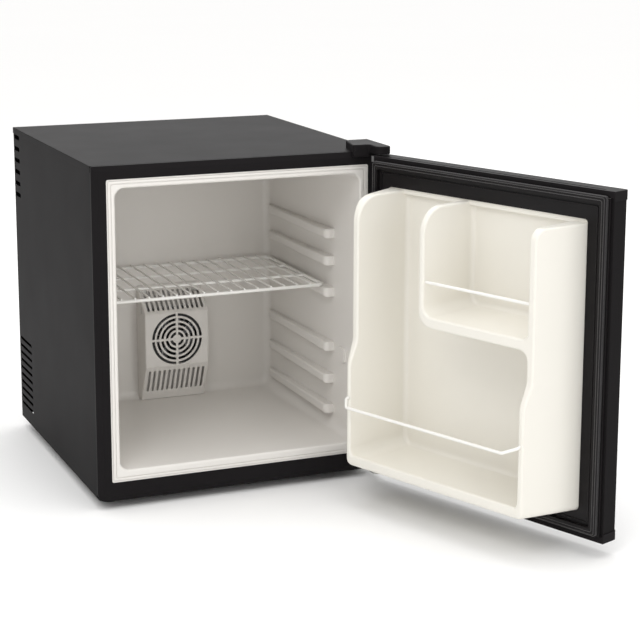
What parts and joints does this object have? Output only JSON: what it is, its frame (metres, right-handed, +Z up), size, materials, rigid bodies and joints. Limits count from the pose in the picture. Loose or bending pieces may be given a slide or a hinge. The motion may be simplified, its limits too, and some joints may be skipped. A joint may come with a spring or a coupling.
{
  "type": "mini fridge",
  "caption": "Compact black refrigerator with its hinged door standing open, a sliding wire shelf, a fan duct on the back wall and bottle bays with wire rails in the door.",
  "frame": {"origin": "on the floor, below the middle of the cabinet's width and of its side panels' depth", "axes": "+Z up, -Y towards the front of the cabinet, +X towards the hinge side"},
  "size_m": [0.5904, 0.9125, 0.508],
  "materials": {
    "cabinet_paint": "black satin powder paint",
    "frame_plastic": "black, semi-gloss",
    "liner_white": "white, semi-gloss",
    "door_liner_cream": "warm white, semi-gloss",
    "gasket": "dark grey, matt",
    "magnet": "bonded magnet strip, matt",
    "shelf_coat": "white dipped coat",
    "foam": "rigid foam, matt",
    "foot_rubber": "black, matt",
    "zinc_steel": "zinc plated",
    "fan_plastic": "black, matt",
    "sink_aluminium": "bare extruded",
    "module_ceramic": "white, matt",
    "supply_case": "grey, matt",
    "rear_plastic": "black, fine texture",
    "hinge_bush": "light grey, matt",
    "knob_plastic": "black, matt"
  },
  "bodies": {
    "cabinet": {"top_panel": "cabinet_paint", "left_side_panel": "cabinet_paint", "right_side_panel": "cabinet_paint", "bottom_pan": "cabinet_paint", "front_frame": "frame_plastic", "inner_liner": "liner_white", "cabinet_foam": "foam", "rear_feet": "foot_rubber", "foot_nuts": "zinc_steel", "duct_cover": "liner_white", "duct_cover_screws": "zinc_steel", "cold_fan_frame": "fan_plastic", "cold_sink": "sink_aluminium", "spacer_block": "sink_aluminium", "thermoelectric_module": "module_ceramic", "hot_sink": "sink_aluminium", "hot_fan_frame": "fan_plastic", "power_supply": "supply_case", "rear_cover": "rear_plastic", "rear_cover_screws": "zinc_steel", "cord_gland": "fan_plastic", "thermostat_body": "supply_case", "top_hinge_bracket": "zinc_steel", "top_hinge_pin": "zinc_steel", "top_hinge_cover": "frame_plastic", "bottom_hinge_bracket": "zinc_steel", "bottom_hinge_pin": "zinc_steel", "hinge_screws": "zinc_steel"},
    "door": {"door_shell": "cabinet_paint", "door_top_cap": "frame_plastic", "door_bottom_cap": "frame_plastic", "top_hinge_bush": "hinge_bush", "bottom_hinge_bush": "hinge_bush", "handle_cup": "frame_plastic", "door_liner": "door_liner_cream", "door_foam": "foam", "door_gasket": "gasket", "gasket_magnets": "magnet", "upper_rail": "shelf_coat", "lower_rail": "shelf_coat"},
    "shelf": {"wire_shelf": "shelf_coat"},
    "knob": {"thermostat_knob": "knob_plastic"},
    "cold_fan": {"cold_fan_rotor": "fan_plastic"},
    "hot_fan": {"hot_fan_rotor": "fan_plastic"},
    "left_foot": {"front_left_foot": "foot_rubber"},
    "right_foot": {"front_right_foot": "foot_rubber"}
  },
  "joints": [
    {"name": "door_hinge", "type": "hinge", "parent": "cabinet", "child": "door", "pos_m": [0.2114, -0.2636, 0.25], "axis": [0, 0, 1], "range_deg": [-110.7, 24.3]},
    {"name": "shelf_slide", "type": "slide", "parent": "cabinet", "child": "shelf", "axis": [0, -1, 0], "range_m": [0, 0.16]},
    {"name": "thermostat_turn", "type": "hinge", "parent": "cabinet", "child": "knob", "pos_m": [0.13, 0.22, 0.43], "axis": [0, 1, 0], "range_deg": [0, 270]},
    {"name": "cold_fan_spin", "type": "hinge", "parent": "cabinet", "child": "cold_fan", "pos_m": [0, 0.075, 0.1635], "axis": [0, 1, 0], "continuous": true},
    {"name": "hot_fan_spin", "type": "hinge", "parent": "cabinet", "child": "hot_fan", "pos_m": [0, 0.196, 0.1635], "axis": [0, 1, 0], "continuous": true},
    {"name": "left_foot_turn", "type": "hinge", "parent": "cabinet", "child": "left_foot", "pos_m": [-0.19, -0.186, 0.01], "axis": [0, 0, 1], "range_deg": [-360, 1440]},
    {"name": "right_foot_turn", "type": "hinge", "parent": "cabinet", "child": "right_foot", "pos_m": [0.19, -0.186, 0.01], "axis": [0, 0, 1], "range_deg": [-360, 1440]}
  ]
}
